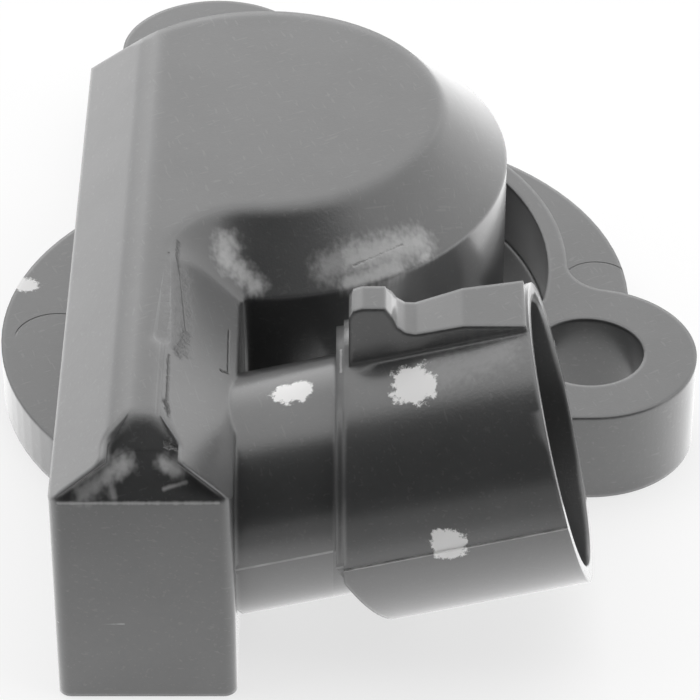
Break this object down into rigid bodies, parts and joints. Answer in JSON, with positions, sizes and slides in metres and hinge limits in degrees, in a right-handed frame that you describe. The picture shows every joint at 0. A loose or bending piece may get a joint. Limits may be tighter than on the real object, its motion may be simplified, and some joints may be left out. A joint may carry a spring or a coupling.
{
  "type": "throttle position sensor",
  "caption": "Rotary position sensor: dark grey moulded housing with two screw ears, a side connector shroud with a latch ramp, and a sprung rotor with a drive socket.",
  "frame": {"origin": "on the rotor axis, at the plane of the mounting face", "axes": "+Z along the rotor axis, away from the mounting face towards the flat top; +X towards the connector's mouth; +Y from the trunk towards the back ear"},
  "size_m": [0.0453, 0.0693, 0.023],
  "materials": {
    "housing_plastic": "dark grey moulded plastic with a satin sheen",
    "cover_plastic": "black moulded plastic",
    "seal_rubber": "black rubber",
    "rotor_plastic": "natural off-white moulded plastic",
    "spring_steel": "bright spring steel",
    "contact_brass": "bright brass",
    "board": "pale board",
    "carbon_ink": "printed carbon film",
    "silver_ink": "printed silver film",
    "terminal_metal": "tinned brass",
    "sealant": "cured sealant"
  },
  "bodies": {
    "sensor_body": {"housing": "housing_plastic", "back_cover": "cover_plastic", "cover_seal": "seal_rubber", "thrust_washer": "spring_steel", "return_spring": "spring_steel", "element_board": "board", "board_clips": "spring_steel", "resistive_track": "carbon_ink", "collector_track": "carbon_ink", "supply_trace": "silver_ink", "signal_trace": "silver_ink", "ground_trace": "silver_ink", "supply_clip": "contact_brass", "signal_clip": "contact_brass", "ground_clip": "contact_brass", "supply_terminal": "terminal_metal", "signal_terminal": "terminal_metal", "ground_terminal": "terminal_metal", "terminal_sealant": "sealant"},
    "turning_rotor": {"rotor": "rotor_plastic", "wiper": "contact_brass"}
  },
  "joints": [
    {"name": "rotor_turn", "type": "hinge", "parent": "sensor_body", "child": "turning_rotor", "pos_m": [0, 0, 0], "axis": [0, 0, 1], "range_deg": [0, 100], "stiffness_Nm_per_rad": 0.006, "springref_deg": -34.38, "deforming": ["return_spring"]}
  ]
}
